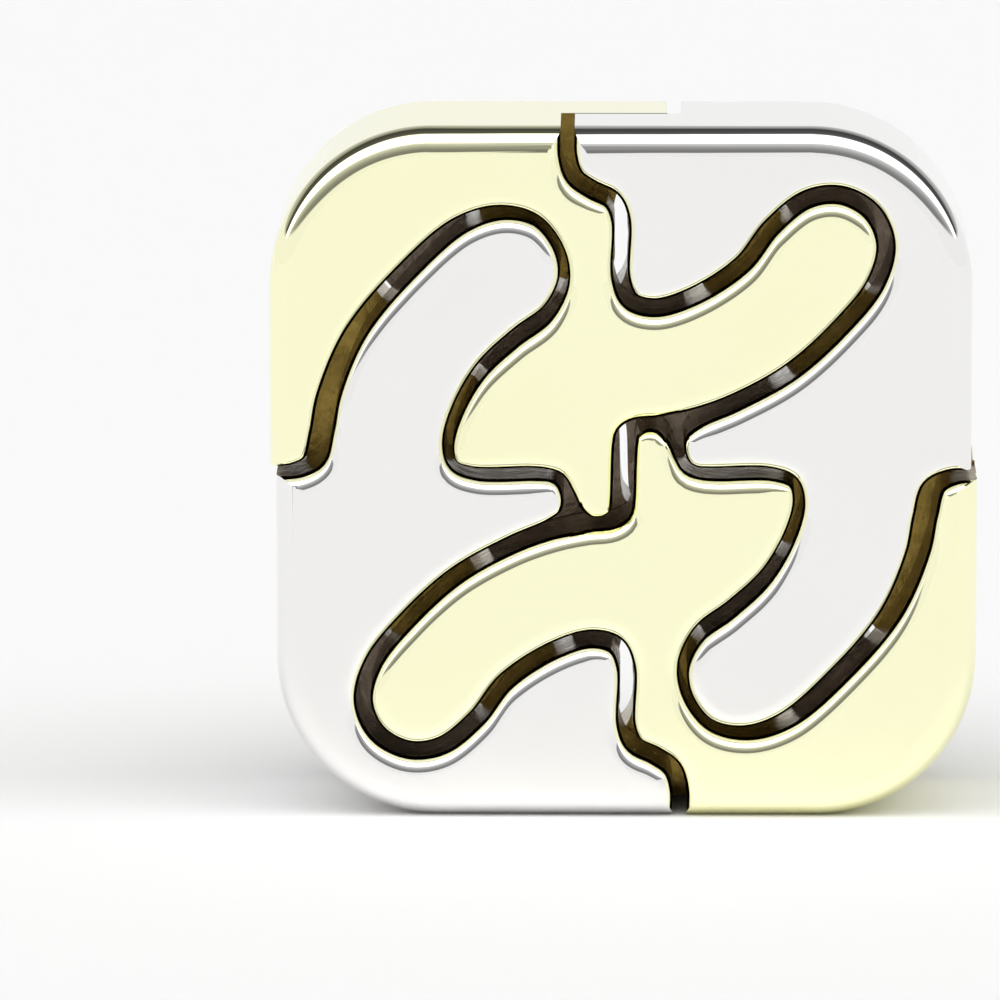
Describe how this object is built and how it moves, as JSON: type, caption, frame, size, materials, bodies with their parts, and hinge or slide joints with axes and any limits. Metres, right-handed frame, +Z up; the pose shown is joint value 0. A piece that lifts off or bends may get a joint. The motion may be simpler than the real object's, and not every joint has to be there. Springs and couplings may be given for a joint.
{
  "type": "interlocking cast metal puzzle",
  "caption": "Rounded square block puzzle of interlocked plated castings in gold and silver colour, cut by winding seams, that open together in one linked turn.",
  "frame": {"origin": "middle of the bottom of the closed block's bounding box", "axes": "+Z up as the block stands on its edge, +X to the right, front face towards -Y, thickness along Y"},
  "size_m": [0.0504, 0.0164, 0.0498],
  "materials": {
    "gold_plating": "mirror polished pale gold plating on zinc casting",
    "silver_plating": "mirror polished nickel plating on zinc casting"
  },
  "bodies": {
    "lower_left": {"silver_lower_left": "silver_plating"},
    "lower_right": {"gold_lower_right": "gold_plating"},
    "upper_left": {"gold_upper_left": "gold_plating"},
    "upper_right": {"silver_upper_right": "silver_plating"}
  },
  "joints": [
    {"name": "lower_pair_opening", "type": "hinge", "parent": "lower_left", "child": "lower_right", "pos_m": [0, 0, 0.0005], "axis": [0, 1, 0], "range_deg": [0, 66]},
    {"name": "left_pair_opening", "type": "hinge", "parent": "lower_left", "child": "upper_left", "pos_m": [0.001, 0, 0.025], "axis": [0, 1, 0], "range_deg": [0, 66]},
    {"name": "upper_pair_opening", "type": "hinge", "parent": "upper_left", "child": "upper_right", "pos_m": [0, 0, 0.0495], "axis": [0, -1, 0], "range_deg": [0, 66]}
  ],
  "couplings": [
    {"joint": "left_pair_opening", "follows": "lower_pair_opening", "ratio": 1},
    {"joint": "upper_pair_opening", "follows": "lower_pair_opening", "ratio": 1}
  ]
}
